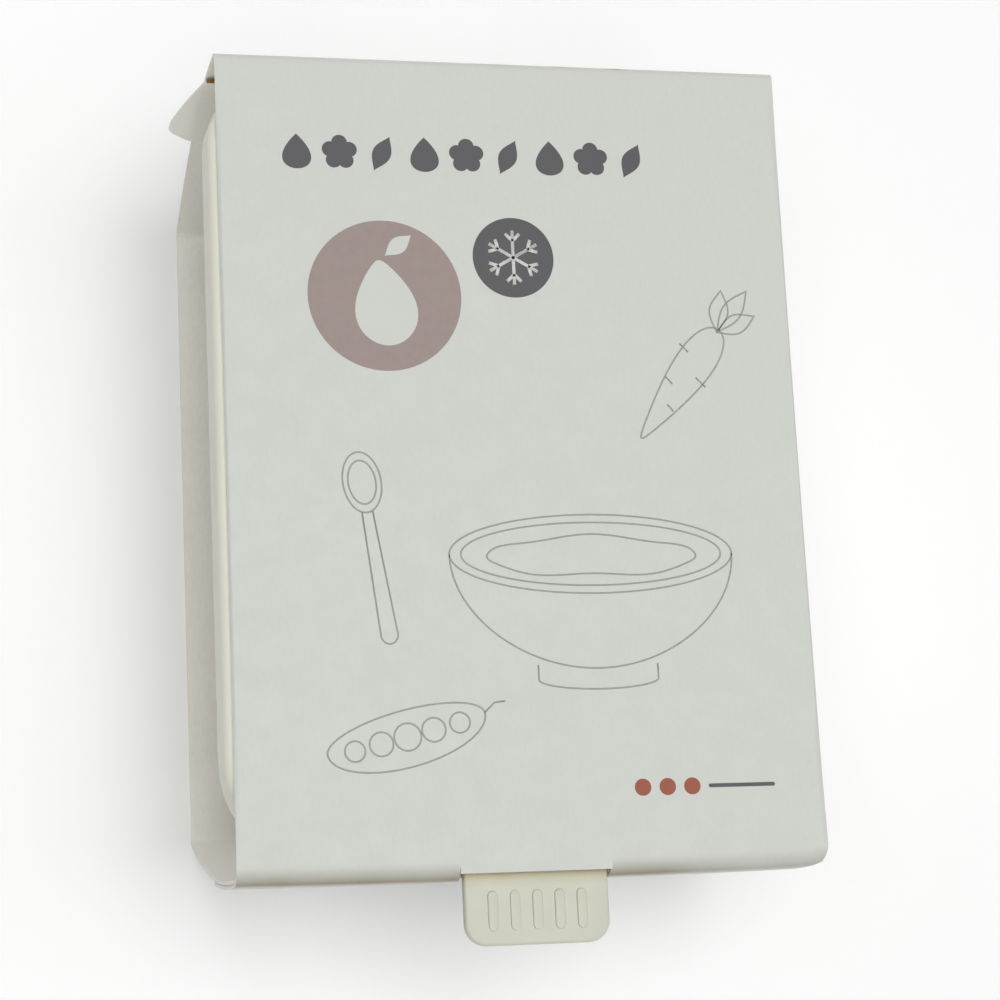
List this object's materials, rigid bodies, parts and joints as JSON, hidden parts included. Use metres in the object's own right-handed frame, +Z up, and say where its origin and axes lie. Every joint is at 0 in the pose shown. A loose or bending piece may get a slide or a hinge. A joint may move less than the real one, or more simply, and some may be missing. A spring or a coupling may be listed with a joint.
{
  "type": "freezer tray in carton wrap",
  "caption": "Silicone freezer tray with round-bottomed wells and a peel-off lid with a pull tab, packed in a folded carton wrap that is open at both long sides.",
  "frame": {"origin": "middle of the back panel's outer face, which the carton lies on", "axes": "+Z up from the back panel to the front panel, +Y along the carton away from the pull tab, +X to the right across the front panel"},
  "size_m": [0.0808, 0.1171, 0.049],
  "materials": {
    "carton_board": "matte",
    "carton_front": "matte coated",
    "tray_silicone": "matte",
    "lid_silicone": "matte"
  },
  "bodies": {
    "wrap": {"back_panel": "carton_board", "far_end_panel": "carton_board", "tab_end_panel": "carton_board", "glue_flap": "carton_board"},
    "ear": {"ear": "carton_board"},
    "cover": {"front_panel": "carton_front"},
    "flap_left": {"end_flap_left": "carton_board"},
    "flap_right": {"end_flap_right": "carton_board"},
    "tray": {"tray_rim": "tray_silicone", "well_1_1": "tray_silicone", "well_1_2": "tray_silicone", "well_1_3": "tray_silicone", "well_1_4": "tray_silicone", "well_1_5": "tray_silicone", "well_1_6": "tray_silicone", "well_2_1": "tray_silicone", "well_2_2": "tray_silicone", "well_2_3": "tray_silicone", "well_2_4": "tray_silicone", "well_2_5": "tray_silicone", "well_2_6": "tray_silicone", "well_3_1": "tray_silicone", "well_3_2": "tray_silicone", "well_3_3": "tray_silicone", "well_3_4": "tray_silicone", "well_3_5": "tray_silicone", "well_3_6": "tray_silicone", "lid_far_border": "lid_silicone"},
    "lid": {"lid_panel": "lid_silicone", "pull_tab": "lid_silicone"}
  },
  "joints": [
    {"name": "cover_open", "type": "hinge", "parent": "wrap", "child": "cover", "pos_m": [0, 0.05415, 0.04875], "axis": [-1, 0, 0], "range_deg": [0, 120]},
    {"name": "flap_left_fold", "type": "hinge", "parent": "cover", "child": "flap_left", "pos_m": [-0.024, -0.05415, 0.04875], "axis": [-1, 0, 0], "range_deg": [0, 100]},
    {"name": "flap_right_fold", "type": "hinge", "parent": "cover", "child": "flap_right", "pos_m": [0.024, -0.05415, 0.04875], "axis": [-1, 0, 0], "range_deg": [0, 100]},
    {"name": "ear_fold", "type": "hinge", "parent": "wrap", "child": "ear", "pos_m": [-0.0385, 0.05281, 0.04127], "axis": [0, -0.1764, -0.9843], "range_deg": [-60, 90]},
    {"name": "tray_slide", "type": "slide", "parent": "wrap", "child": "tray", "axis": [-1, 0, 0], "range_m": [0, 0.085], "deforming": ["pull_tab"]},
    {"name": "lid_peel", "type": "hinge", "parent": "tray", "child": "lid", "pos_m": [0, 0.0373, 0.0474], "axis": [-1, 0, 0], "range_deg": [0, 90]}
  ],
  "couplings": [
    {"joint": "lid_peel", "follows": "cover_open", "ratio": 0.75}
  ]
}
